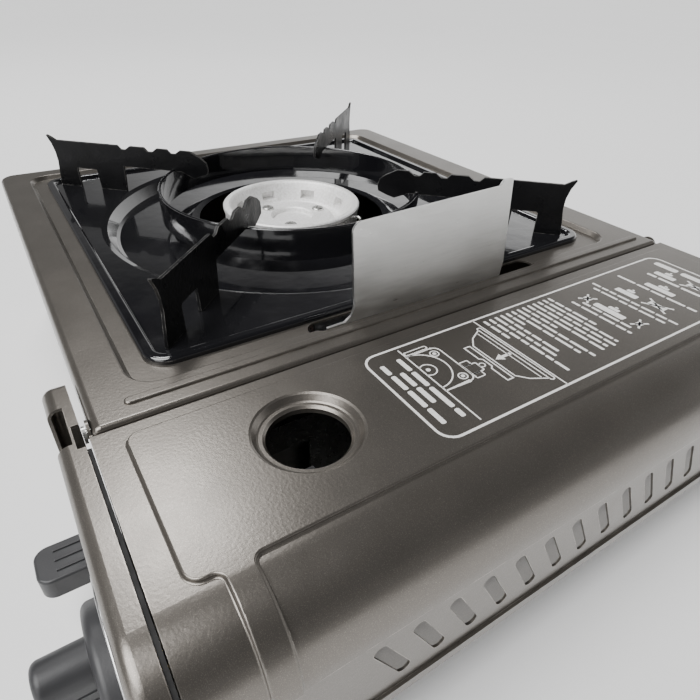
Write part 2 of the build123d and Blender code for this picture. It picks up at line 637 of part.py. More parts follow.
def regulator_body():
    body = block(REGULATOR_LEFT, REGULATOR_RIGHT, REGULATOR_FRONT, REGULATOR_BACK, REGULATOR_BOTTOM, REGULATOR_TOP)
    body = fillet(body.edges().filter_by(Axis.Z), REGULATOR_CORNER)
    chamber = Pos(CHAMBER_X, CHAMBER_Y, REGULATOR_TOP) * extrude(Circle(CHAMBER_RADIUS), CHAMBER_HEIGHT)
    cavity = Pos(CHAMBER_X, CHAMBER_Y, REGULATOR_TOP + CHAMBER_FLOOR) * extrude(Circle(CAVITY_RADIUS), CHAMBER_HEIGHT)
    spout_end = REGULATOR_BACK + SPOUT_LENGTH
    spout = rod((BAY_X, REGULATOR_BACK, BAY_Z), (BAY_X, spout_end, BAY_Z), SPOUT_RADIUS)
    inlet = rod((BAY_X, REGULATOR_BACK - 5, BAY_Z), (BAY_X, spout_end + 1, BAY_Z), INLET_RADIUS)
    seat = rod((BAY_X, spout_end - SEAL_SEAT_DEPTH, BAY_Z), (BAY_X, spout_end + 1, BAY_Z), SEAL_RADIUS)
    spindle_bore = rod((SPINDLE_X, REGULATOR_FRONT - 1, SPINDLE_Z), (SPINDLE_X, SPINDLE_END + 1, SPINDLE_Z),
                       SPINDLE_RADIUS + RUNNING)
    cutout_bore = rod((BAY_X, CUTOUT_BORE_END, CUTOUT_Z), (BAY_X, SOCKET_BACK, CUTOUT_Z), CUTOUT_RADIUS + RUNNING)
    for left in EAR_LEFTS:
        body += block(left, left + EAR_WIDTH, REGULATOR_FRONT - EAR_LENGTH, REGULATOR_FRONT + 1,
                      REGULATOR_BOTTOM + EAR_MARGIN, REGULATOR_TOP - EAR_MARGIN)
    return body + chamber + spout - cavity - inlet - seat - spindle_bore - cutout_bore - (
        chamber_screw_holes() - Pos(0, 0, REGULATOR_TOP) * Box(400, 400, 4))


def regulator_diaphragm():
    seat_z = REGULATOR_TOP + CHAMBER_HEIGHT
    disc = Pos(CHAMBER_X, CHAMBER_Y, seat_z) * extrude(Circle(CHAMBER_RADIUS - 0.5), DIAPHRAGM_THICK)
    return disc - chamber_screw_holes()


def regulator_cover():
    base = Pos(CHAMBER_X, CHAMBER_Y, REGULATOR_TOP + CHAMBER_HEIGHT + DIAPHRAGM_THICK)
    dome = extrude(Circle(COVER_DOME_RADIUS), COVER_DOME_HEIGHT)
    dome = fillet(dome.edges().sort_by(Axis.Z)[-1], 3)
    hollow = extrude(Circle(COVER_DOME_RADIUS - COVER_WALL), COVER_DOME_HEIGHT - 1.4)
    cover = base * (extrude(Circle(CHAMBER_RADIUS), COVER_FLANGE) + dome - hollow)
    return cover - chamber_screw_holes()


def regulator_spring():
    foot_z = REGULATOR_TOP + CHAMBER_HEIGHT + DIAPHRAGM_THICK + 0.7
    return coil(5.5, 0.5, 5, 5.8, Plane(origin=(CHAMBER_X, CHAMBER_Y, foot_z)))


def regulator_screws():
    head_z = REGULATOR_TOP + CHAMBER_HEIGHT + DIAPHRAGM_THICK + COVER_FLANGE
    return Compound(children=[screw((x, y, head_z), (0, 0, 1), head_radius=2.2, length=4.0)
                              for x, y in chamber_screw_places()])


def canister_socket():
    """The collar that centres the canister's dome, with the rim that fits its notch."""
    ring = rod((BAY_X, SOCKET_FRONT, BAY_Z), (BAY_X, SOCKET_BACK, BAY_Z), SOCKET_RADIUS)
    ring -= rod((BAY_X, SOCKET_FRONT - 1, BAY_Z), (BAY_X, SOCKET_BACK + 1, BAY_Z), SPOUT_RADIUS + 0.02)
    ring -= rod((BAY_X, SOCKET_FRONT + SOCKET_FLOOR, BAY_Z), (BAY_X, SOCKET_BACK + 1, BAY_Z), SOCKET_RIM_RADIUS)
    return ring - rod((BAY_X, SOCKET_FRONT - 1, CUTOUT_Z), (BAY_X, SOCKET_BACK + 1, CUTOUT_Z), CUTOUT_RADIUS + 0.6)


def notch_guide():
    """The upright clip seen through the lid's hole, where the canister's notch is lined up."""
    left = CLIP_X - GUIDE_HALF_WIDTH
    right = CLIP_X + GUIDE_HALF_WIDTH
    blade_back = SOCKET_BACK + GUIDE_SHEET
    blade = block(left, right, SOCKET_BACK, blade_back, GUIDE_BOTTOM, GUIDE_TOP)
    lip = block(left, right, blade_back, GUIDE_BACK, GUIDE_TOP - GUIDE_SHEET, GUIDE_TOP)
    notch = block(CLIP_X - GUIDE_NOTCH_HALF, CLIP_X + GUIDE_NOTCH_HALF, SOCKET_BACK - 1, GUIDE_BACK + 1.5,
                  GUIDE_TOP - 5, GUIDE_TOP + 4)
    return blade + lip - notch


def socket_seal():
    front = REGULATOR_BACK + SPOUT_LENGTH - SEAL_SEAT_DEPTH
    seal = rod((BAY_X, front, BAY_Z), (BAY_X, front + 1.8, BAY_Z), SEAL_RADIUS)
    return seal - rod((BAY_X, front - 0.5, BAY_Z), (BAY_X, front + 2.5, BAY_Z), SEAL_BORE)


def cutout_pin():
    tip = rod((BAY_X, -91.5, CUTOUT_Z), (BAY_X, -82.5, CUTOUT_Z), CUTOUT_RADIUS)
    return tip + rod((BAY_X, -96.0, CUTOUT_Z), (BAY_X, -91.5, CUTOUT_Z), 1.2)


def cutout_spring():
    return coil(1.9, 0.35, 5, 7.0, Plane(origin=(BAY_X, -99.3, CUTOUT_Z), z_dir=(0, 1, 0)))


# ---------------------------------------------------------------- tap, knob and igniter

def valve_spindle():
    """The tap's shaft with the cam and arm that push the igniter as it turns."""
    shaft = rod((SPINDLE_X, SPINDLE_FRONT, SPINDLE_Z), (SPINDLE_X, SPINDLE_END, SPINDLE_Z), SPINDLE_RADIUS)
    cam_back = CAM_FRONT_Y + CAM_THICK
    cam = rod((SPINDLE_X, CAM_FRONT_Y, SPINDLE_Z), (SPINDLE_X, cam_back, SPINDLE_Z), CAM_RADIUS)
    arm = block(SPINDLE_X, SPINDLE_X + CAM_ARM_REACH, CAM_FRONT_Y, cam_back,
                SPINDLE_Z - CAM_ARM_HALF, SPINDLE_Z + CAM_ARM_HALF)
    return shaft + cam + arm


def control_knob():
    """A round skirt with a grip bar across it. The bar stands upright when the gas is off."""
    back = CONTROL_FACE_Y - 0.6
    plane = Plane(origin=(SPINDLE_X, back, SPINDLE_Z), x_dir=(1, 0, 0), z_dir=(0, -1, 0))
    skirt = extrude(Circle(KNOB_RADIUS), 5)
    skirt = fillet(skirt.edges().sort_by(Axis.Z)[-1], 2)
    bar = Pos(0, 0, 4) * extrude(SlotOverall(2 * KNOB_RADIUS - 3, 11), 13)
    bar = fillet(bar.faces().sort_by(Axis.Z)[-1].edges(), 2)
    knob = skirt + Rot(0, 0, 90) * bar
    for i in range(-3, 4):
        for side in (-1, 1):
            knob -= Pos(side * 5.7, i * 3.6, 11) * Cylinder(0.6, 12)
    knob -= Pos(0, 0, 5) * Cylinder(SPINDLE_RADIUS, 12.2)
    return plane * knob


def knob_bezel():
    """The raised dial ring fixed round the knob."""
    face = Plane(origin=(SPINDLE_X, CONTROL_FACE_Y, SPINDLE_Z), z_dir=(0, -1, 0))
    ring = extrude(Circle(KNOB_RADIUS + 6) - Circle(KNOB_RADIUS + 1.2), 1.0)
    return face * fillet(ring.faces().sort_by(Axis.Z)[-1].edges(), 0.4)


def igniter_body():
    case = rod((IGNITER_X, -112, SPINDLE_Z), (IGNITER_X, WIRE_Y, SPINDLE_Z), 5.0)
    case += block(140, 146, -110, -98, SPINDLE_Z - 3, SPINDLE_Z + 3)
    case -= rod((IGNITER_X, -113, SPINDLE_Z), (IGNITER_X, -103, SPINDLE_Z), 2.5 + RUNNING)
    return case


def igniter_plunger():
    return rod((IGNITER_X, -120.6, SPINDLE_Z), (IGNITER_X, -108.5, SPINDLE_Z), 2.5)


def ignition_wire():
    line = FilletPolyline((IGNITER_X, WIRE_Y, SPINDLE_Z), (IGNITER_X, WIRE_Y + 3.5, SPINDLE_Z),
                          (IGNITER_X, WIRE_Y + 3.5, WIRE_Z), (60, WIRE_Y + 3.5 - 6, WIRE_Z), (20, -60, WIRE_Z),
                          (ELECTRODE_X, -10, WIRE_Z), (ELECTRODE_X, ELECTRODE_Y, WIRE_Z),
                          (ELECTRODE_X, ELECTRODE_Y, 54), radius=2.5)
    section = Plane(origin=line @ 0, z_dir=line % 0) * Circle(WIRE_RADIUS)
    return sweep(section, line)


def electrode_ceramic():
    at = Pos(ELECTRODE_X, ELECTRODE_Y, 0)
    stem = Pos(0, 0, 54) * extrude(Circle(2.5), 33)
    collar = Pos(0, 0, 66) * extrude(Circle(3.6), 4)
    stem = fillet((stem + collar).edges().sort_by(Axis.Z)[-1], 0.8)
    return at * (stem - Pos(0, 0, 86) * Cylinder(0.7, 6))


def electrode_tip():
    reach = Vector(BURNER_X - ELECTRODE_X, BURNER_Y - ELECTRODE_Y, 0).normalized()
    base = Vector(ELECTRODE_X, ELECTRODE_Y, 83)
    knee = base + Vector(0, 0, 6.6)
    end = knee + reach * 5.2 + Vector(0, 0, -1.2)
    line = FilletPolyline(base, knee, end, radius=1.4)
    section = Plane(origin=line @ 0, z_dir=line % 0) * Circle(0.7)
    return sweep(section, line)


def electrode_bracket():
    angle = math.degrees(math.atan2(ELECTRODE_Y - BURNER_Y, ELECTRODE_X - BURNER_X))
    strip = block(BOWL_RADIUS - 1, 49, -5, 5, 63.4, 64.6)
    strip += block(BOWL_RADIUS - 1, BOWL_RADIUS + 1.2, -5, 5, 56, 63.4)
    strip = Pos(BURNER_X, BURNER_Y, 0) * Rot(0, 0, angle) * strip
    strip -= Pos(BURNER_X, BURNER_Y, 60) * Cylinder(BOWL_RADIUS, 20)
    return strip - Pos(ELECTRODE_X, ELECTRODE_Y, 65) * Cylinder(2.5, 10)


# ---------------------------------------------------------------- control panel and lock lever

def control_form(inset, back):
    """The control panel's outside form, or with an inset the form of its inside."""
    width = CONTROL_RIGHT - CONTROL_LEFT - 2 * inset
    height = CONTROL_TOP_Z - FOOT_HEIGHT - 2 * inset
    face = Rectangle(width, height)
    corner = face.vertices().sort_by(lambda v: v.X + v.Y)[-1]
    face = fillet(corner, LID_SHOULDER - inset)
    left_top = face.vertices().sort_by(lambda v: v.X - v.Y)[0]
    face = fillet(left_top, CONTROL_EDGE - inset)
    centre = ((CONTROL_LEFT + CONTROL_RIGHT) / 2, CONTROL_FACE_Y + inset, (CONTROL_TOP_Z + FOOT_HEIGHT) / 2)
    front = Plane(origin=centre, x_dir=(1, 0, 0), z_dir=(0, -1, 0))
    depth = back - CONTROL_FACE_Y - inset
    form = front * extrude(face, -depth)
    rim = form.faces().sort_by(Axis.Y)[0].edges()
    upper = [edge for edge in rim if edge.center().Z > FOOT_HEIGHT + inset + 1]
    return fillet(upper, CONTROL_EDGE - inset)


def control_panel():
    shell = control_form(0, CONTROL_BACK_Y) - control_form(CONTROL_SHEET, CONTROL_BACK_Y + 5)
    shell += block(CONTROL_LEFT + 6, CONTROL_RIGHT - 6, CONTROL_FACE_Y + 2, -BASE_HALF_DEPTH,
                   FOOT_HEIGHT, FOOT_HEIGHT + 0.9) - block(0, 200, -BASE_HALF_DEPTH - 0.02, 0, 0, 20)
    shell -= block(LEVER_SLOT_LEFT, LEVER_SLOT_RIGHT, CONTROL_FACE_Y - 1, CONTROL_FACE_Y + LEVER_SLOT_DEPTH,
                   LEVER_SLOT_BOTTOM, TOP_Z)
    shell -= block(HINGE_X - 5, HINGE_X + 5.4, CONTROL_BACK_Y - 2.2, CONTROL_BACK_Y + 1, 76, TOP_Z)
    shell -= rod((SPINDLE_X, CONTROL_FACE_Y - 1, SPINDLE_Z), (SPINDLE_X, CONTROL_FACE_Y + 3, SPINDLE_Z), 4.5)
    for x in (CONTROL_LEFT + 8, CONTROL_RIGHT - 8):
        shell -= rod((x, CONTROL_FACE_Y - 1, 18), (x, CONTROL_FACE_Y + 3, 18), 1.44)
    return shell


def control_panel_screws():
    return Compound(children=[screw((x, CONTROL_FACE_Y, 18), (0, -1, 0), length=7.5)
                              for x in (CONTROL_LEFT + 8, CONTROL_RIGHT - 8)])


def fork_plate():
    """The lever's upper arm, leaning forwards at rest, with the slot that drives the carriage."""
    arm = Pos(0, 9) * Rectangle(9.5, 18)
    arm = fillet(arm.vertices().sort_by(Axis.Y)[-2:], 2)
    arm -= Pos(0, 13.5) * Rectangle(FORK_SLOT, 12)
    return Rot(0, 0, FORK_REST_ANGLE) * arm


def lock_lever():
    yz = Plane(origin=(LEVER_X, PIVOT_Y, PIVOT_Z), x_dir=(0, 1, 0), z_dir=(1, 0, 0))
    tip = (GRIP_TIP_Y + 7 - PIVOT_Y, GRIP_TOP_Z - GRIP_THICK / 2 - PIVOT_Z)
    arm = make_face(Polyline((0, -5), (tip[0] + 12, tip[1] - 2), (tip[0], tip[1] - 2), (tip[0], tip[1] + 2),
                             (tip[0] + 12, tip[1] + 3), (0, 5), close=True))
    outline = Circle(LEVER_HUB) + arm + fork_plate() - Circle(PIVOT_RADIUS + RUNNING)
    return yz * extrude(outline, LEVER_THICK)


def lever_grip():
    body = block(GRIP_LEFT, GRIP_RIGHT, GRIP_TIP_Y, GRIP_ROOT_Y, GRIP_TOP_Z - GRIP_THICK, GRIP_TOP_Z)
    fronts = body.edges().filter_by(Axis.Z).sort_by(Axis.Y)[:2]
    body = fillet(fronts, GRIP_CORNER)
    body = fillet(body.faces().sort_by(Axis.Z)[-1].edges(), 1.0)
    middle = (GRIP_LEFT + GRIP_RIGHT) / 2
    for i in (-1, 0, 1):
        ridge = block(middle + i * 4 - 0.45, middle + i * 4 + 0.45, GRIP_TIP_Y + 6, GRIP_ROOT_Y,
                      GRIP_TOP_Z - 0.5, GRIP_TOP_Z + 0.6)
        body += fillet(ridge.edges().filter_by(Axis.Y).sort_by(Axis.Z)[-2:], 0.3)
    return body - lock_lever()


def lever_pivot():
    pin = rod((LEVER_X - 1.8, PIVOT_Y, PIVOT_Z), (83.5, PIVOT_Y, PIVOT_Z), PIVOT_RADIUS)
    head = rod((LEVER_X - 1.8, PIVOT_Y, PIVOT_Z), (LEVER_X - 0.4, PIVOT_Y, PIVOT_Z), 4.2)
    collar = rod((LEVER_X + LEVER_THICK + 0.4, PIVOT_Y, PIVOT_Z), (82, PIVOT_Y, PIVOT_Z), 3.6)
    return pin + head + collar


def lever_bracket():
    plate = block(82, 83.5, -124, -92, BASE_FLOOR_Z, 50)
    toe = block(83.5, 96, -124, -92, BASE_FLOOR_Z, BASE_FLOOR_Z + 1.5)
    hole = rod((81, PIVOT_Y, PIVOT_Z), (85, PIVOT_Y, PIVOT_Z), PIVOT_RADIUS)
    pipe_hole = rod((81, PIPE_Y, PIPE_Z), (85, PIPE_Y, PIPE_Z), PIPE_RADIUS + 0.7)
    return plate + toe - hole - pipe_hole


def canister_carriage():
    """The sliding tray that carries the canister forwards into the socket."""
    low = BASE_FLOOR_Z + CARRIAGE_RISE
    left_inside = CARRIAGE_LEFT + CARRIAGE_WALL
    tray = block(CARRIAGE_LEFT, CARRIAGE_RIGHT, CARRIAGE_FRONT, CARRIAGE_BACK, low, low + SHEET)
    tray += block(95, 145, CARRIAGE_BACK - CARRIAGE_WALL, CARRIAGE_BACK, low, STOP_TOP_Z)
    tray += block(CARRIAGE_LEFT, left_inside, CARRIAGE_FRONT, CARRIAGE_FRONT + 40, low, DRAG_ARM_TOP_Z)
    tray += block(CARRIAGE_LEFT, left_inside, DRAG_ARM_FRONT, CARRIAGE_FRONT + 1,
                  DRAG_ARM_TOP_Z - DRAG_ARM_HEIGHT, DRAG_ARM_TOP_Z)
    tray += block(CARRIAGE_RIGHT - SHEET, CARRIAGE_RIGHT, CARRIAGE_FRONT, CARRIAGE_BACK, low, CARRIAGE_LIP_TOP_Z)
    for x in STUD_XS:
        for y in STUD_YS:
            slot = Rot(0, 0, 90) * SlotOverall(STUD_SLOT_LENGTH, STUD_SLOT_WIDTH)
            tray -= Pos(x, y - STUD_REST_OFFSET, low - 1) * extrude(slot, 4)
    hole = rod((79, PIVOT_Y - FORK_HEIGHT * math.tan(math.radians(FORK_REST_ANGLE)), PIVOT_Z + FORK_HEIGHT),
               (82, PIVOT_Y - FORK_HEIGHT * math.tan(math.radians(FORK_REST_ANGLE)), PIVOT_Z + FORK_HEIGHT),
               FOLLOWER_RADIUS)
    return tray - hole


def carriage_follower():
    y = PIVOT_Y - FORK_HEIGHT * math.tan(math.radians(FORK_REST_ANGLE))
    z = PIVOT_Z + FORK_HEIGHT
    pin = rod((LEVER_X - 0.5, y, z), (81.0, y, z), FOLLOWER_RADIUS)
    return pin + rod((81.0, y, z), (82.0, y, z), 3.2)


def carriage_studs():
    """Four shoulder studs that hold the carriage down. It slides forwards and back on them."""
    studs = []
    for x in STUD_XS:
        for y in STUD_YS:
            stud = Pos(x, y, BASE_FLOOR_Z) * extrude(Circle(STUD_RADIUS), STUD_HEIGHT)
            stud += Pos(x, y, BASE_FLOOR_Z + STUD_HEIGHT) * extrude(Circle(STUD_HEAD_RADIUS), STUD_HEAD)
            studs.append(stud)
    return Compound(children=studs)


# ---------------------------------------------------------------- canister lid

def lid_form(grow):
    """The lid's outside form without its embossing, grown outwards by grow."""
    left = LID_LEFT - grow
    right = LID_RIGHT + grow
    top = LID_TOP_Z + grow
    face = make_face(Polyline((left, LID_BOTTOM_Z), (right, LID_BOTTOM_Z), (right, top), (left, top), close=True))
    shoulder = face.vertices().sort_by(lambda v: v.X + v.Y)[-1]
    face = fillet(shoulder, LID_SHOULDER + grow)
    seam = face.vertices().sort_by(lambda v: v.X - v.Y)[0]
    if LID_SEAM_ROUNDING + grow > 0:
        face = fillet(seam, LID_SEAM_ROUNDING + grow)
    half = LID_HALF + grow
    return extrude(Plane(origin=(0, half, 0), x_dir=(1, 0, 0), z_dir=(0, -1, 0)) * face, 2 * half)


def plateau_plan(inset):
    """The raised field's plan: a rounded rectangle with a tongue over the shoulder at each end."""
    middle = ((PLATEAU_LEFT + PLATEAU_RIGHT) / 2, 0)
    field = Pos(*middle) * RectangleRounded(PLATEAU_RIGHT - PLATEAU_LEFT, 2 * PLATEAU_HALF, 4)
    notch_half = TONGUE_Y + TONGUE_WIDTH / 2
    for side in (-1, 1):
        tongue_y = side * TONGUE_Y
        field += Pos((PLATEAU_RIGHT - 6 + LID_RIGHT + 2) / 2, tongue_y) * Rectangle(
            LID_RIGHT + 2 - PLATEAU_RIGHT + 6, TONGUE_WIDTH)
    inner_corners = [v for v in field.vertices() if abs(v.X - PLATEAU_RIGHT) < 0.5 and abs(v.Y) < notch_half + 0.5]
    field = fillet(inner_corners, 2.5)
    if inset:
        field = offset(field, -inset, kind=Kind.ARC)
    return extrude(Pos(0, 0, 50) * field, 60)


def soften_plateau(form, top):
    """Rounds the raised field's edge, then the foot of its wall."""
    for level in (top, top - PLATEAU_RISE):
        edges = [edge for edge in form.edges()
                 if abs(edge.center().Z - level) < 0.01 and edge.bounding_box().size.Z < 0.01
                 and abs(edge.center().Y) < PLATEAU_HALF + 1 and edge.center().X > LID_LEFT + 3
                 and edge.center().X < PLATEAU_RIGHT + 3]
        form = fillet(edges, PLATEAU_ROUNDING)
    return form


def lid_surface(grow, plan_inset):
    """The lid's embossed form: plain form, raised field, and the set-back vent band."""
    plain = lid_form(grow)
    raised = lid_form(grow + PLATEAU_RISE) & plateau_plan(plan_inset)
    raised &= block(LID_LEFT, LID_RIGHT + 5, -LID_HALF, LID_HALF, VENT_BAND_TOP + 1.5, 100)
    form = soften_plateau(plain + raised, LID_TOP_Z + PLATEAU_RISE + grow)
    band = block(LID_RIGHT - 1.0 + grow, LID_RIGHT + 5, -LID_HALF - 5, LID_HALF + 5,
                 VENT_BAND_BOTTOM + grow, VENT_BAND_TOP - grow)
    return form - band


def spindle_notch():
    """The notch in the lid's front wall that lets it swing up past the tap's spindle."""
    clear = SPINDLE_RADIUS + SPINDLE_NOTCH_CLEARANCE
    lower_left = SPINDLE_X - clear - (SPINDLE_Z - LID_BOTTOM_Z)
    return block(lower_left, SPINDLE_X + clear, -LID_HALF - 1, -LID_HALF + 2, LID_BOTTOM_Z - 1, SPINDLE_Z + clear)


def canister_lid():
    outer = lid_surface(0, 0)
    skin = outer - lid_surface(-SHEET, SHEET)
    skin -= lid_form(-LID_FLANGE) & block(LID_LEFT + LID_FLANGE, LID_RIGHT - LID_FLANGE, -200, 200, 0, 100)
    skin -= block(LID_LEFT - 2, LID_LEFT + 4, -LID_HALF + SHEET, LID_HALF - SHEET, 0, LID_SEAM_LIP_Z)
    skin -= block(LID_LEFT - 2, LID_LEFT + 4, -200, 200, 0, LID_SEAM_FLANGE_Z)
    top = LID_TOP_Z + PLATEAU_RISE
    dish = Pos(LID_HOLE_X, LID_HOLE_Y, 0) * revolve(make_face(Plane.XZ * Polyline(
        (0, top + 1), (LID_DISH_RADIUS, top + 1), (LID_DISH_RADIUS, top), (LID_DISH_RADIUS - 0.7, top - 0.35),
        (LID_LEDGE_RADIUS, top - LID_DISH_DEPTH + 0.3), (LID_LEDGE_RADIUS - 0.5, top - LID_DISH_DEPTH),
        (LID_HOLE_RADIUS + 0.8, top - LID_DISH_DEPTH), (LID_HOLE_RADIUS, top - LID_DISH_DEPTH - 0.8),
        (LID_HOLE_RADIUS, 70), (0, 70), close=True)), Axis.Z)
    under = Pos(LID_HOLE_X, LID_HOLE_Y, top - LID_DISH_DEPTH - 2.4) * extrude(
        Circle(LID_DISH_RADIUS + 0.4), LID_DISH_DEPTH + 2.0)
    skin = skin + under - dish
    for i in range(VENT_COUNT):
        y = (i - (VENT_COUNT - 1) / 2) * VENT_PITCH
        skin -= side_obround(y, VENT_Z, VENT_LENGTH, VENT_WIDTH, 90 + VENT_SLANT, LID_RIGHT - 6, 12)
    skin -= spindle_notch()
    for side in (-1, 1):
        y0 = min(side * LID_HALF, side * (LID_HALF - SHEET))
        ear = block(HINGE_X, LID_LEFT + 3, y0, y0 + SHEET, HINGE_Z - HINGE_EAR, LID_TOP_Z - 1.2)
        ear += rod((HINGE_X, y0, HINGE_Z), (HINGE_X, y0 + SHEET, HINGE_Z), HINGE_EAR)
        skin += ear
        skin -= rod((HINGE_X, y0 - 1, HINGE_Z), (HINGE_X, y0 + 2, HINGE_Z), HINGE_PIN + RUNNING)
    return skin


def main():
    save(base_tray(), "base_tray")
    for name_x, x in FOOT_XS.items():
        for name_y, y in (("front", -FOOT_Y), ("back", FOOT_Y)):
            save(foot(x, y), f"foot_{name_y}_{name_x}")
    save(foot_screws(), "foot_screws")
    save(top_panel(), "top_panel")
    save(hinge_pins(), "hinge_pins")
    save(guard_partition(), "guard_partition")
    save(drip_pan(), "drip_pan")
    save(support_ring(), "support_ring")
    for name, angle in ARM_ANGLES.items():
        save(support_arm(angle), f"support_arm_{name}")
    save(burner_head(), "burner_head")
    save(burner_screws(), "burner_screws")
    save(burner_flame_ring(), "burner_flame_ring")
    save(burner_bowl(), "burner_bowl")
    save(mixing_tube(), "mixing_tube")
    save(gas_jet(), "gas_jet")
    save(jet_bracket(), "jet_bracket")
    save(burner_bracket(), "burner_bracket")
    save(heat_plate(), "heat_plate")
    save(gas_pipe(), "gas_pipe")
    save(pipe_nut(), "pipe_nut")
    save(regulator_body(), "regulator_body")
    save(regulator_diaphragm(), "regulator_diaphragm")
    save(regulator_cover(), "regulator_cover")
    save(regulator_spring(), "regulator_spring")
    save(regulator_screws(), "regulator_screws")
    save(canister_socket(), "canister_socket")
    save(notch_guide(), "notch_guide")
    save(socket_seal(), "socket_seal")
    save(cutout_pin(), "cutout_pin")
    save(cutout_spring(), "cutout_spring")
    save(valve_spindle(), "valve_spindle")
    save(control_knob(), "control_knob")
    save(knob_bezel(), "knob_bezel")
    save(igniter_body(), "igniter_body")
    save(igniter_plunger(), "igniter_plunger")
    save(ignition_wire(), "ignition_wire")
    save(electrode_ceramic(), "electrode_ceramic")
    save(electrode_tip(), "electrode_tip")
    save(electrode_bracket(), "electrode_bracket")
    save(control_panel(), "control_panel")
    save(control_panel_screws(), "control_panel_screws")
    save(lock_lever(), "lock_lever")
    save(lever_grip(), "lever_grip")
    save(lever_pivot(), "lever_pivot")
    save(lever_bracket(), "lever_bracket")
    save(canister_carriage(), "canister_carriage")
    save(carriage_follower(), "carriage_follower")
    save(carriage_studs(), "carriage_studs")
    save(canister_lid(), "canister_lid")


main()
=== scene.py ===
"""Looks of a portable gas stove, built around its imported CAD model. Lengths are in metres."""

import json
import math
import random

import bmesh
import bpy
from mathutils import Matrix, Vector

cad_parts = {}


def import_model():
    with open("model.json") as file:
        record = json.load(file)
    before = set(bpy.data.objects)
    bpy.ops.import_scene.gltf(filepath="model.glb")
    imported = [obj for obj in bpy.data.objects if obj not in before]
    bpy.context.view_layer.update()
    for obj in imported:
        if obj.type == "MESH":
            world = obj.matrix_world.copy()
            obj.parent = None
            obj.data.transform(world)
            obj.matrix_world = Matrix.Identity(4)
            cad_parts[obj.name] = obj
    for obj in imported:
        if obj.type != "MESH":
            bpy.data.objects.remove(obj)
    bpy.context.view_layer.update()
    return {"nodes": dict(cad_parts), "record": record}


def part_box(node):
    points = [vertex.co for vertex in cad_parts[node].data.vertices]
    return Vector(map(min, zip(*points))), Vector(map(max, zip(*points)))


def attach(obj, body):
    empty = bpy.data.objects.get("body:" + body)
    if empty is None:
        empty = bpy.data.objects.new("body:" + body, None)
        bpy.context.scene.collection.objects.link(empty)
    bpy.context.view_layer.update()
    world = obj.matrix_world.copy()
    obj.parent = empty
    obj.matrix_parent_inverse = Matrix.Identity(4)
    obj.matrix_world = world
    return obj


# Camera. Its place is measured from the point on the floor under the middle of the body
CAMERA_PLACE = Vector((0.21420, -0.13046, 0.19087))
CAMERA_RIGHT = Vector((0.53499, 0.84459, 0.02118))
CAMERA_UP = Vector((-0.49049, 0.29008, 0.82175))
CAMERA_BACK = Vector((0.68790, -0.45002, 0.56945))
CAMERA_LENS = 28.51
SENSOR_WIDTH = 36.0

MM = 0.001

# From the left end of the top panel to the middle of the body
BODY_HALF_LENGTH = 0.167

# A black strip put as painted shade in the gap behind the control panel's edge, and the shoulder radius that
# it follows
SHADE_STRIP_START = 0.0865
SHADE_STRIP_OUTER = 0.0004
SHADE_STRIP_INNER = 0.0030
SHADE_STRIP_CLEARANCE = 0.0003
SHADE_STRIP_DEPTH = 0.0011
SHOULDER_RADIUS = 0.020

# The even light from above: its direction, its strength and the angle that it fills, in degrees
SKY_SIDE = (0.05, -0.50, 0.86)
SKY_STRENGTH = 4.6
SKY_ANGLE = 50.0

# The direction of the bright backdrop
BACKDROP_SIDE = (-0.42, 0.91, 0.0)

# How bright the surroundings are: away from the backdrop and in its middle, then low down and high up
BACKDROP_FADE = (0.45, 0.95)
BACKDROP_LEVELS = (0.16, 1.35)
HORIZON_FADE = (0.30, 0.50)
HORIZON_LEVELS = (1.0, 0.10)

# Area lights: name, place, aim, size and power
AREA_LIGHTS = (
    ("window_left", (-0.86, 0.0, 1.25), (0.10, -0.08, 0.08), (0.32, 0.26), 5.6),
    ("front_card", (0.75, -1.3, 0.55), (0.05, -0.05, 0.05), (0.9, 0.5), 4.0),
)

FLOOR_HALF = 6.0

# The label on the lid, in millimetres from the body's middle: left, right, front, back, then two cross lines
LABEL = (94.9, 138.0, -48.4, 108.5)
LABEL_CORNER = 5.0
LABEL_DIVIDER = 0.0
LABEL_GROUND = -34.5
INK_BELOW = 0.02
INK_ABOVE = 0.04

# Bars below the diagrams: their widths, the first line's distance from the ground line, pitch and height
CAPTION_WIDTHS = (32.0, 19.0, 31.0)
CAPTION_START = 3.0
CAPTION_PITCH = 3.4
CAPTION_HEIGHT = 1.7

# The block of small print: the share of the label's width that each line fills
PRINT_SHARES = (0.60, 0.90, 0.94, 0.90, 0.92, 0.45, 0.94, 0.84, 0.26, 0.72, 0.76, 0.98, 0.36)
PRINT_TOP = 37.2
PRINT_PITCH = 2.82
PRINT_HEIGHT = 1.15
PRINT_MARGIN = 2.5

# What stands above the small print, from front to back. Each offset is from the label's middle line.
# bars: offset, width, y, height. stove and crossed: offset, y, width
UPPER_ROWS = (
    ("bars", 0.5, 26.0, 43.2, 1.15),
    ("bars", 0.5, 21.0, 46.4, 1.15),
    ("stove", -0.5, 50.4, 13.0),
    ("crossed", -11.0, 50.4, 4.4),
    ("crossed", 11.0, 51.2, 3.4),
    ("bars", 0.0, 31.0, 60.0, 1.15),
    ("bars", 0.0, 37.0, 63.2, 1.15),
    ("stove", -6.0, 68.6, 9.5),
    ("crossed", 6.5, 69.0, 10.0),
    ("bars", 0.0, 35.0, 78.3, 1.3),
    ("stove", -1.0, 83.0, 12.5),
    ("bars", 0.0, 25.0, 91.3, 1.5),
    ("stove", -7.0, 96.0, 9.0),
    ("crossed", 6.0, 96.4, 11.0),
    ("bars", 0.0, 34.0, 103.6, 3.2),
)

# The colour sockets of a Mix node
MIX_INPUTS = (6, 7)
MIX_OUTPUT = 2


# ---------------------------------------------------------------- material building blocks

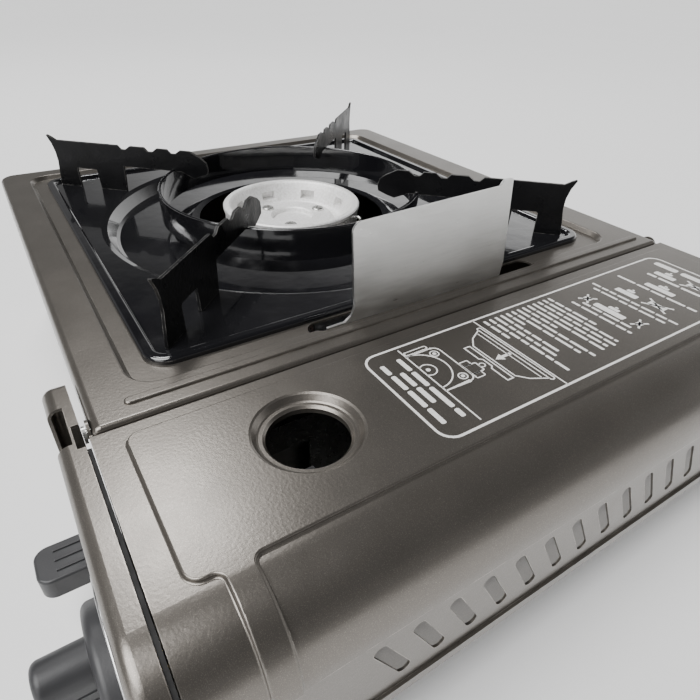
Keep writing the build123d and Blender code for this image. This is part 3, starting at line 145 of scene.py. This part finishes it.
class Surface:
    """A principled material with its node tree at hand."""

    def __init__(self, name, metallic, roughness, coat=0.0, coat_roughness=0.03, specular=0.5):
        self.material = bpy.data.materials.new(name)
        self.material.use_nodes = True
        self.tree = self.material.node_tree
        self.shader = self.tree.nodes["Principled BSDF"]
        self.shader.inputs["Metallic"].default_value = metallic
        self.shader.inputs["Roughness"].default_value = roughness
        self.shader.inputs["Coat Weight"].default_value = coat
        self.shader.inputs["Coat Roughness"].default_value = coat_roughness
        self.shader.inputs["Specular IOR Level"].default_value = specular
        self.position = self.node("ShaderNodeTexCoord").outputs["Object"]

    def node(self, kind, **settings):
        made = self.tree.nodes.new(kind)
        for key, value in settings.items():
            setattr(made, key, value)
        return made

    def link(self, source, target):
        self.tree.links.new(source, target)

    def noise(self, scale, detail=4.0, stretch=(1, 1, 1)):
        """Noise between 0 and 1, with scale features per metre, stretched along the axes."""
        mapping = self.node("ShaderNodeMapping")
        mapping.inputs["Scale"].default_value = stretch
        self.link(self.position, mapping.inputs["Vector"])
        made = self.node("ShaderNodeTexNoise")
        made.inputs["Scale"].default_value = scale
        made.inputs["Detail"].default_value = detail
        self.link(mapping.outputs["Vector"], made.inputs["Vector"])
        return made.outputs["Fac"]

    def steps(self, value, low, high, to_low=0.0, to_high=1.0):
        """value mapped from low..high to to_low..to_high, and held at the ends."""
        made = self.node("ShaderNodeMapRange", clamp=True)
        for key, number in (("From Min", low), ("From Max", high), ("To Min", to_low), ("To Max", to_high)):
            made.inputs[key].default_value = number
        self.link(value, made.inputs["Value"])
        return made.outputs["Result"]

    def maths(self, operation, first, second):
        made = self.node("ShaderNodeMath", operation=operation)
        for socket, value in zip(made.inputs, (first, second)):
            if isinstance(value, float):
                socket.default_value = value
            else:
                self.link(value, socket)
        return made.outputs["Value"]

    def edges(self, radius):
        """0 on flat faces, rising to 1 along edges, within radius."""
        bevel = self.node("ShaderNodeBevel", samples=6)
        bevel.inputs["Radius"].default_value = radius
        geometry = self.node("ShaderNodeNewGeometry")
        dot = self.node("ShaderNodeVectorMath", operation="DOT_PRODUCT")
        self.link(bevel.outputs["Normal"], dot.inputs[0])
        self.link(geometry.outputs["Normal"], dot.inputs[1])
        return self.steps(dot.outputs["Value"], 0.995, 0.86)

    def mixed(self, factor, first, second):
        """Colour first where factor is 0 and second where it is 1. Each is a colour or a socket."""
        made = self.node("ShaderNodeMix", data_type="RGBA")
        self.link(factor, made.inputs["Factor"])
        for place, value in zip(MIX_INPUTS, (first, second)):
            socket = made.inputs[place]
            if isinstance(value, tuple):
                socket.default_value = (*value, 1.0)
            else:
                self.link(value, socket)
        return made.outputs[MIX_OUTPUT]

    def colour(self, source):
        self.link(source, self.shader.inputs["Base Color"])

    def roughness(self, source):
        self.link(source, self.shader.inputs["Roughness"])

    def bump(self, height, depth, strength=1.0):
        """height between 0 and 1, standing depth metres proud where it is 1."""
        made = self.node("ShaderNodeBump")
        made.inputs["Strength"].default_value = strength
        made.inputs["Distance"].default_value = depth
        self.link(height, made.inputs["Height"])
        self.link(made.outputs["Normal"], self.shader.inputs["Normal"])


def tint(colour, factor):
    return tuple(min(1.0, c * factor) for c in colour)


def satin_paint(name, colour, metallic=0.82, roughness=0.31):
    """Metallic satin paint over pressed steel: flake, orange peel, handling marks, thin edges."""
    surface = Surface(name, metallic, roughness, coat=0.2, coat_roughness=0.18)
    cloudy = surface.noise(9.0, 3.0)
    flake = surface.noise(5200.0, 1.0)
    base = surface.mixed(cloudy, tint(colour, 0.94), tint(colour, 1.06))
    base = surface.mixed(surface.steps(flake, 0.55, 0.75), base, tint(colour, 1.7))
    handled = surface.steps(surface.noise(160.0, 5.0), 0.4, 0.65)
    worn = surface.maths("MULTIPLY", surface.edges(0.5 * MM), handled)
    surface.colour(surface.mixed(worn, base, tint(colour, 3.0)))
    surface.roughness(surface.steps(surface.noise(60.0, 6.0), 0.3, 0.7, roughness - 0.02, roughness + 0.03))
    surface.bump(surface.noise(1100.0, 2.0), 0.00003)
    return surface.material


def glossy_enamel(name):
    """Black vitreous enamel: deep gloss, slow ripples, pinholes and thin brownish edges."""
    colour = (0.006, 0.006, 0.007)
    surface = Surface(name, 0.0, 0.09, coat=1.0, coat_roughness=0.03, specular=0.6)
    thinned = surface.steps(surface.noise(240.0, 5.0), 0.45, 0.7)
    worn = surface.maths("MULTIPLY", surface.edges(0.35 * MM), thinned)
    base = surface.mixed(surface.noise(30.0, 4.0), tint(colour, 0.7), tint(colour, 2.2))
    surface.colour(surface.mixed(worn, base, (0.07, 0.065, 0.06)))
    surface.roughness(surface.steps(surface.noise(90.0, 6.0), 0.35, 0.75, 0.06, 0.22))
    surface.bump(surface.noise(130.0, 3.0), 0.00012)
    return surface.material


def dull_enamel(name):
    """The enamel of the pan support: near black, thicker and less glossy over the blanked steel."""
    colour = (0.004, 0.004, 0.0045)
    surface = Surface(name, 0.0, 0.34, coat=0.04, coat_roughness=0.12, specular=0.14)
    chipped = surface.steps(surface.noise(300.0, 5.0), 0.38, 0.6)
    worn = surface.maths("MULTIPLY", surface.edges(0.5 * MM), chipped)
    base = surface.mixed(surface.noise(45.0, 4.0), tint(colour, 0.6), tint(colour, 2.4))
    surface.colour(surface.mixed(worn, base, (0.16, 0.155, 0.145)))
    surface.roughness(surface.steps(surface.noise(120.0, 6.0), 0.35, 0.7, 0.26, 0.46))
    lumps = surface.maths("ADD", surface.noise(210.0, 4.0), surface.noise(700.0, 2.0))
    surface.bump(lumps, 0.00012)
    return surface.material


def rolled_steel(name, colour, roughness, stretch, grain=900.0, depth=0.000012):
    """Sheet steel or aluminium with a fine rolled grain that runs along the short side of stretch."""
    surface = Surface(name, 1.0, roughness)
    grain_noise = surface.noise(grain, 3.0, stretch)
    cloudy = surface.noise(35.0, 4.0)
    base = surface.mixed(grain_noise, tint(colour, 0.86), tint(colour, 1.1))
    base = surface.mixed(surface.steps(cloudy, 0.35, 0.75, 0.0, 0.35), base, tint(colour, 0.75))
    surface.colour(surface.mixed(surface.edges(0.3 * MM), base, tint(colour, 1.5)))
    surface.roughness(surface.steps(grain_noise, 0.25, 0.75, roughness - 0.07, roughness + 0.1))
    surface.bump(grain_noise, depth)
    return surface.material


def cast_metal(name, colour, roughness, lump=900.0, depth=0.00005, metallic=1.0):
    """Die-cast metal: sandy skin, darker in the pits, bright on edges."""
    surface = Surface(name, metallic, roughness)
    skin = surface.noise(lump, 5.0)
    base = surface.mixed(surface.steps(skin, 0.3, 0.7), tint(colour, 0.78), tint(colour, 1.12))
    base = surface.mixed(surface.steps(surface.noise(70.0, 5.0), 0.4, 0.8, 0.0, 0.5), base, tint(colour, 0.7))
    surface.colour(surface.mixed(surface.edges(0.3 * MM), base, tint(colour, 1.35)))
    surface.roughness(surface.steps(skin, 0.3, 0.7, roughness - 0.06, roughness + 0.12))
    surface.bump(skin, depth)
    return surface.material


def moulded_plastic(name, colour, roughness, grain=1600.0):
    """Moulded plastic with a fine spark-eroded texture and rubbed edges."""
    surface = Surface(name, 0.0, roughness, specular=0.45)
    skin = surface.noise(grain, 3.0)
    base = surface.mixed(surface.noise(50.0, 4.0), tint(colour, 0.85), tint(colour, 1.2))
    surface.colour(surface.mixed(surface.edges(0.4 * MM), base, tint(colour, 2.2)))
    surface.roughness(surface.steps(surface.noise(120.0, 5.0), 0.3, 0.7, roughness - 0.08, roughness + 0.08))
    surface.bump(skin, 0.00003)
    return surface.material


def soft_rubber(name, colour):
    surface = Surface(name, 0.0, 0.75, specular=0.3)
    dust = surface.steps(surface.noise(180.0, 6.0), 0.5, 0.8, 0.0, 0.5)
    surface.colour(surface.mixed(dust, colour, tint(colour, 3.0)))
    surface.roughness(surface.steps(surface.noise(300.0, 4.0), 0.3, 0.7, 0.62, 0.85))
    surface.bump(surface.noise(900.0, 4.0), 0.00005)
    return surface.material


def glazed_porcelain(name):
    surface = Surface(name, 0.0, 0.15, coat=0.6, coat_roughness=0.05)
    base = surface.mixed(surface.noise(250.0, 3.0), (0.80, 0.77, 0.70), (0.90, 0.88, 0.84))
    surface.colour(base)
    surface.roughness(surface.steps(surface.noise(200.0, 4.0), 0.3, 0.7, 0.10, 0.26))
    surface.bump(surface.noise(400.0, 2.0), 0.00003)
    return surface.material


def screen_print(name):
    """White screen-printed ink, slightly thin in places."""
    surface = Surface(name, 0.0, 0.45, specular=0.4)
    thin = surface.steps(surface.noise(900.0, 5.0), 0.52, 0.8, 0.0, 0.45)
    surface.colour(surface.mixed(thin, (0.78, 0.77, 0.75), (0.45, 0.44, 0.42)))
    surface.roughness(surface.steps(surface.noise(300.0, 4.0), 0.3, 0.7, 0.38, 0.55))
    surface.bump(surface.noise(1500.0, 3.0), 0.00001)
    return surface.material


GUNMETAL = (0.180, 0.165, 0.147)


def finishes():
    """One material for each of the record's slots."""
    return {
        "body_paint": satin_paint("gunmetal_paint", GUNMETAL),
        "base_paint": satin_paint("base_paint", tint(GUNMETAL, 0.8)),
        "enamel": glossy_enamel("black_enamel"),
        "guard_steel": rolled_steel("guard_steel", (0.78, 0.78, 0.765), 0.34, (1, 0.12, 1)),
        "cast_burner": cast_metal("burner_casting", (0.97, 0.955, 0.93), 0.48, metallic=0.35),
        "plated_steel": rolled_steel("plated_steel", (0.58, 0.58, 0.57), 0.30, (0.2, 1, 1)),
        "heat_plate": rolled_steel("heat_plate_aluminium", (0.75, 0.75, 0.76), 0.32, (0.1, 1, 1)),
        "zinc_casting": cast_metal("zinc_casting", (0.50, 0.50, 0.51), 0.45),
        "brass": cast_metal("turned_brass", (0.72, 0.55, 0.27), 0.25, depth=0.00001),
        "pipe_metal": rolled_steel("pipe_metal", (0.70, 0.70, 0.71), 0.28, (0.15, 1, 1)),
        "fasteners": cast_metal("fastener_steel", (0.70, 0.70, 0.68), 0.24, depth=0.00001),
        "spring_steel": cast_metal("spring_steel", (0.48, 0.48, 0.48), 0.28, depth=0.00001),
        "rubber_black": soft_rubber("black_rubber", (0.025, 0.025, 0.025)),
        "handle_plastic": moulded_plastic("handle_plastic", (0.035, 0.035, 0.037), 0.42),
        "bezel_metal": rolled_steel("bezel_metal", (0.60, 0.60, 0.60), 0.28, (0.2, 1, 1)),
        "igniter_plastic": moulded_plastic("igniter_plastic", (0.72, 0.70, 0.64), 0.4),
        "wire_insulation": moulded_plastic("wire_insulation", (0.50, 0.07, 0.05), 0.4),
        "electrode_porcelain": glazed_porcelain("electrode_porcelain"),
    }


def finish_nodes(frame, by_slot):
    """Gives each CAD node its slot's material. The support arms get their own, and the notch guide gets a
    near-black one as painted shade for the dark hole it sits in.
    """
    for part in frame["record"]["subparts"]:
        mesh = frame["nodes"][part["node"]].data
        mesh.materials.clear()
        mesh.materials.append(by_slot[part["material_slot"]])
    support = dull_enamel("support_enamel")
    for name in frame["nodes"]:
        if name.startswith("support_arm"):
            frame["nodes"][name].data.materials[0] = support
    # The notch guide is darkened to near black as painted shade: it sits in the shadow of its hole
    guide_shade_finish = cast_metal("notch_guide_painted_shade", (0.06, 0.06, 0.06), 0.5)
    frame["nodes"]["notch_guide"].data.materials[0] = guide_shade_finish


def linked(name, data):
    made = bpy.data.objects.new(name, data)
    bpy.context.scene.collection.objects.link(made)
    return made


def made_piece(mesh, name, material, body):
    """The bmesh as an object that rides on a body."""
    bmesh.ops.recalc_face_normals(mesh, faces=mesh.faces)
    data = bpy.data.meshes.new(name)
    mesh.to_mesh(data)
    mesh.free()
    data.materials.append(material)
    made = linked(name, data)
    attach(made, body)
    return made


# ---------------------------------------------------------------- printed label

class Print:
    """Flat shapes printed on the lid, as thin closed prisms. Points are (x, y) in millimetres from middle."""

    def __init__(self, middle, low, high):
        self.mesh = bmesh.new()
        self.middle = middle
        self.low = low
        self.high = high

    def corners(self, x, y):
        place = (self.middle.x + x * MM, self.middle.y + y * MM)
        return [self.mesh.verts.new((*place, z)) for z in (self.low, self.high)]

    def filled(self, points):
        """A solid patch. points run counter-clockwise."""
        walls = [self.corners(*point) for point in points]
        self.mesh.faces.new([wall[1] for wall in walls])
        self.mesh.faces.new([wall[0] for wall in reversed(walls)])
        for first, second in zip(walls, walls[1:] + walls[:1]):
            self.mesh.faces.new((first[0], second[0], second[1], first[1]))

    def line(self, points, width, closed=False):
        """A line of that width along the points, with mitred corners."""
        count = len(points)
        rows = []
        for i, point in enumerate(points):
            here = Vector(point)
            before = Vector(points[i - 1]) if closed or i else None
            after = Vector(points[(i + 1) % count]) if closed or i < count - 1 else None
            incoming = (here - before).normalized() if before else (after - here).normalized()
            outgoing = (after - here).normalized() if after else incoming
            normal = Vector((-incoming.y - outgoing.y, incoming.x + outgoing.x)).normalized()
            reach = width / 2 / max(0.4, normal.dot(Vector((-incoming.y, incoming.x))))
            left = self.corners(*(here + normal * reach))
            right = self.corners(*(here - normal * reach))
            rows.append((left[1], right[1], right[0], left[0]))
        pairs = list(zip(rows, rows[1:] + rows[:1])) if closed else list(zip(rows, rows[1:]))
        for first, second in pairs:
            for k in range(4):
                after_k = (k + 1) % 4
                self.mesh.faces.new((first[k], first[after_k], second[after_k], second[k]))
        if not closed:
            self.mesh.faces.new(tuple(reversed(rows[0])))
            self.mesh.faces.new(rows[-1])

    def finish(self, name, material, body):
        return made_piece(self.mesh, name, material, body)


def arc(x, y, radius, start, end, steps=12):
    """Points on a circle's arc, from start to end in degrees."""
    angles = [math.radians(start + (end - start) * i / steps) for i in range(steps + 1)]
    return [(x + radius * math.cos(a), y + radius * math.sin(a)) for a in angles]


def circle(x, y, radius, steps=24):
    return arc(x, y, radius, 0, 360, steps)[:-1]


def rounded(x0, x1, y0, y1, radius):
    """A rectangle's outline with round corners, counter-clockwise."""
    corners = ((x1 - radius, y0 + radius, -90), (x1 - radius, y1 - radius, 0),
               (x0 + radius, y1 - radius, 90), (x0 + radius, y0 + radius, 180))
    return [point for x, y, start in corners for point in arc(x, y, radius, start, start + 90, 6)]


def word_bars(ink, rng, x0, x1, y, height):
    """A line of plain bars of word-like lengths between x0 and x1. It stands for a line of small print."""
    x = x0
    gap = height * 0.55
    while x < x1 - height:
        length = min(rng.uniform(2.2, 6.5) * height, x1 - x)
        ink.filled(rounded(x, x + length, y - height / 2, y + height / 2, height * 0.35))
        x += length + gap


def centred_bars(ink, rng, middle, width, y, height):
    word_bars(ink, rng, middle - width / 2, middle + width / 2, y, height)


def pan_diagram(ink, middle, top, width):
    """A wide dish in section, an arrow down, and the burner's stem below it."""
    half = width / 2
    rim = 1.6
    floor_y = top - 10.0
    ink.line(rounded(middle - half, middle + half, top - rim, top, 0.7), 0.45, closed=True)
    left_wall = [(middle - half + 1, top - rim), (middle - half + 4, top - 7), (middle - half + 7.5, floor_y)]
    right_wall = [(2 * middle - x, y) for x, y in reversed(left_wall)]
    ink.line(left_wall + right_wall, 0.5)
    ink.line([(middle - half + 2.6, top - 3.4), (middle + half - 2.6, top - 3.4)], 0.35)
    ink.filled([(middle - 0.6, top - 6.0), (middle + 0.6, top - 6.0), (middle + 0.6, top - 2.2),
                (middle - 0.6, top - 2.2)])
    ink.filled([(middle, top - 9.0), (middle + 1.7, top - 6.0), (middle - 1.7, top - 6.0)])
    ink.line([(middle - 10, floor_y - 1.2), (middle - 10, floor_y - 3.6), (middle - 3, floor_y - 3.6),
              (middle - 2, floor_y - 2.6), (middle + 2, floor_y - 2.6), (middle + 3, floor_y - 3.6),
              (middle + 10, floor_y - 3.6), (middle + 10, floor_y - 1.2)], 0.5, closed=True)
    ink.line(circle(middle, floor_y - 4.9, 1.0, 16), 0.4, closed=True)
    ink.line(rounded(middle - 2.2, middle + 2.2, floor_y - 11.0, floor_y - 6.0, 0.6), 0.5, closed=True)
    ink.line(rounded(middle - 4.4, middle - 2.2, floor_y - 11.0, floor_y - 7.6, 0.5), 0.45, closed=True)
    ink.line(rounded(middle + 2.2, middle + 4.4, floor_y - 11.0, floor_y - 7.6, 0.5), 0.45, closed=True)


def bay_diagram(ink, left, right, ground):
    """The canister bay seen from its end, with the round canister and its neck."""
    top = ground + 12.4
    middle = (left + right) / 2
    ink.line([(left, ground), (left, top - 2.5)] + arc(left + 2.5, top - 2.5, 2.5, 180, 90, 6)
             + arc(right - 2.5, top - 2.5, 2.5, 90, 0, 6) + [(right, top - 2.5), (right, ground)], 0.5)
    ink.line(arc(middle - 1, ground, 9.2, 0, 180, 28), 0.5)
    ink.line(arc(middle - 1, ground + 2.0, 2.8, -45, 225, 20), 0.45)
    ink.filled(circle(middle - 1, ground + 2.0, 0.8, 16))
    for x in (left + 3.0, right - 3.0):
        ink.line(circle(x, top - 3.0, 1.5, 18), 0.45, closed=True)
        ink.filled(circle(x, top - 3.0, 0.7, 14))
    ink.line(rounded(left - 2.2, left - 0.6, ground + 0.5, top - 3.0, 0.5), 0.45, closed=True)


def stove_icon(ink, x, y, width):
    """A small filled side view of a stove with a pan on it."""
    half = width / 2
    ink.filled(rounded(x - half, x + half, y - 2.2, y + 0.8, 0.7))
    ink.filled(rounded(x - half * 0.35, x + half * 0.35, y + 1.2, y + 3.0, 0.5))
    ink.filled(rounded(x - half * 0.1, x + half * 0.1, y + 3.3, y + 4.3, 0.3))


def crossed_icon(ink, x, y, width):
    """A small stove icon crossed out."""
    half = width / 2
    ink.filled(rounded(x - half * 0.7, x + half * 0.7, y - 1.4, y + 1.6, 0.5))
    ink.line([(x - half, y - 2.8), (x + half, y + 3.2)], 0.8)
    ink.line([(x - half, y + 3.2), (x + half, y - 2.8)], 0.8)


def small_print(ink, rng):
    left, right = LABEL[:2]
    start = left + PRINT_MARGIN
    for i, share in enumerate(PRINT_SHARES):
        end = start + share * (right - left - 6)
        word_bars(ink, rng, start, end, PRINT_TOP - i * PRINT_PITCH, PRINT_HEIGHT)


def upper_rows(ink, rng, middle):
    for kind, offset, *row in UPPER_ROWS:
        if kind == "bars":
            centred_bars(ink, rng, middle + offset, *row)
        elif kind == "stove":
            stove_icon(ink, middle + offset, *row)
        else:
            crossed_icon(ink, middle + offset, *row)


def lid_label(material, body_middle):
    """A generic printed label: a frame, two diagrams, bars that stand for small print, and plain icons."""
    surface_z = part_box("canister_lid")[1][2]
    rng = random.Random(11)
    ink = Print(body_middle, surface_z - INK_BELOW * MM, surface_z + INK_ABOVE * MM)
    left, right, front, back = LABEL
    middle = (left + right) / 2
    ink.line(rounded(left, right, front, back, LABEL_CORNER), 0.85, closed=True)
    ink.line([(left, LABEL_DIVIDER), (right, LABEL_DIVIDER)], 0.5)
    pan_diagram(ink, middle + 0.3, LABEL_DIVIDER - 0.9, 34.0)
    ink.line([(left + 1.5, LABEL_GROUND), (right - 2, LABEL_GROUND)], 0.5)
    bay_diagram(ink, middle - 15.5, middle + 4.5, LABEL_GROUND)
    for i, width in enumerate(CAPTION_WIDTHS):
        y = LABEL_GROUND - CAPTION_START - i * CAPTION_PITCH
        centred_bars(ink, rng, middle, width, y, CAPTION_HEIGHT)
    small_print(ink, rng)
    upper_rows(ink, rng, middle)
    return ink.finish("lid_label", material, "lid")


# ---------------------------------------------------------------- painted shade strip

def shade_strip_path(middle, inset):
    """Points (x, z) in metres, from beside the hinge, over the panel's shoulder and down its right edge."""
    low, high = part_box("control_panel")
    left = middle.x + SHADE_STRIP_START
    right = high[0] - inset
    top = high[2] - inset
    radius = SHOULDER_RADIUS - inset
    shoulder = arc(right - radius, top - radius, radius, 90, 0, 16)
    return [(left, top)] + shoulder + [(right, low[2] + radius)]


def shade_strip(material, middle):
    """A thin black strip in the gap behind the control panel's edge, standing in as painted shade for the
    dark of the gap. The lid's wall closes just clear of it.
    """
    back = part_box("canister_lid")[0][1] - SHADE_STRIP_CLEARANCE
    front = back - SHADE_STRIP_DEPTH
    outer = shade_strip_path(middle, SHADE_STRIP_OUTER)
    inner = shade_strip_path(middle, SHADE_STRIP_INNER)
    mesh = bmesh.new()
    rings = [[mesh.verts.new((x, y, z)) for (x, z), y in ((o, front), (o, back), (i, back), (i, front))]
             for o, i in zip(outer, inner)]
    for first, second in zip(rings, rings[1:]):
        for k in range(4):
            mesh.faces.new((first[k], first[(k + 1) % 4], second[(k + 1) % 4], second[k]))
    mesh.faces.new(rings[0])
    mesh.faces.new(reversed(rings[-1]))
    made = made_piece(mesh, "control_panel_shade_strip", material, "chassis")


# ---------------------------------------------------------------- scene

def area_light(name, place, aim, size, power):
    data = bpy.data.lights.new(name, "AREA")
    data.shape = "RECTANGLE"
    data.size, data.size_y = size
    data.energy = power
    light = linked(name, data)
    light.location = place
    light.rotation_euler = (Vector(aim) - Vector(place)).to_track_quat("-Z", "Y").to_euler()


def soft_sky():
    """A wide, even light from above, which also lights the far floor."""
    data = bpy.data.lights.new("soft_sky", "SUN")
    data.energy = SKY_STRENGTH
    data.angle = math.radians(SKY_ANGLE)
    linked("soft_sky", data).rotation_euler = Vector(SKY_SIDE).to_track_quat("Z", "Y").to_euler()


def lights():
    for light in AREA_LIGHTS:
        area_light(*light)
    soft_sky()


def world():
    """Soft surroundings: a bright backdrop low down behind the object, dim above and towards the viewer."""
    made = bpy.data.worlds.new("studio")
    made.use_nodes = True
    tree = made.node_tree
    background = tree.nodes["Background"]
    direction = tree.nodes.new("ShaderNodeTexCoord").outputs["Generated"]

    def along(vector, fade, levels):
        dot = tree.nodes.new("ShaderNodeVectorMath")
        dot.operation = "DOT_PRODUCT"
        dot.inputs[1].default_value = vector
        tree.links.new(direction, dot.inputs[0])
        ramp = tree.nodes.new("ShaderNodeMapRange")
        ramp.interpolation_type = "SMOOTHSTEP"
        for key, number in zip(("From Min", "From Max", "To Min", "To Max"), (*fade, *levels)):
            ramp.inputs[key].default_value = number
        tree.links.new(dot.outputs["Value"], ramp.inputs["Value"])
        return ramp.outputs["Result"]

    behind = along(BACKDROP_SIDE, BACKDROP_FADE, BACKDROP_LEVELS)
    low_down = along((0, 0, 1), HORIZON_FADE, HORIZON_LEVELS)
    level = tree.nodes.new("ShaderNodeMath")
    level.operation = "MULTIPLY"
    tree.links.new(behind, level.inputs[0])
    tree.links.new(low_down, level.inputs[1])
    tree.links.new(level.outputs["Value"], background.inputs["Strength"])
    background.inputs["Color"].default_value = (1.0, 1.0, 1.0, 1.0)
    bpy.context.scene.world = made


def floor():
    mesh = bpy.data.meshes.new("floor")
    corners = [(x * FLOOR_HALF, y * FLOOR_HALF, 0) for x, y in ((-1, -1), (1, -1), (1, 1), (-1, 1))]
    mesh.from_pydata(corners, [], [(0, 1, 2, 3)])
    made = linked("floor", mesh)
    surface = Surface("pale_floor", 0.0, 0.8)
    surface.colour(surface.mixed(surface.noise(3.0), (0.92, 0.92, 0.92), (0.95, 0.95, 0.95)))
    mesh.materials.append(surface.material)


def body_middle():
    """The point on the floor under the middle of the body."""
    low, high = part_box("top_panel")
    return Vector((low[0] + BODY_HALF_LENGTH, (low[1] + high[1]) / 2, 0))


def camera(middle):
    data = bpy.data.cameras.new("camera")
    data.sensor_width = SENSOR_WIDTH
    data.lens = CAMERA_LENS
    data.clip_start = 0.01
    made = linked("camera", data)
    turn = Matrix((CAMERA_RIGHT, CAMERA_UP, CAMERA_BACK)).transposed()
    made.matrix_world = Matrix.Translation(middle + CAMERA_PLACE) @ turn.to_4x4()
    bpy.context.scene.camera = made


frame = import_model()
finish_nodes(frame, finishes())
middle = body_middle()
lid_label(screen_print("label_ink"), middle)
# A near-black strip in the control panel's gap: painted shade for the dark gap
shade_strip(soft_rubber("shade_strip_black", (0.02, 0.02, 0.02)), middle)
world()
floor()
lights()
camera(middle)
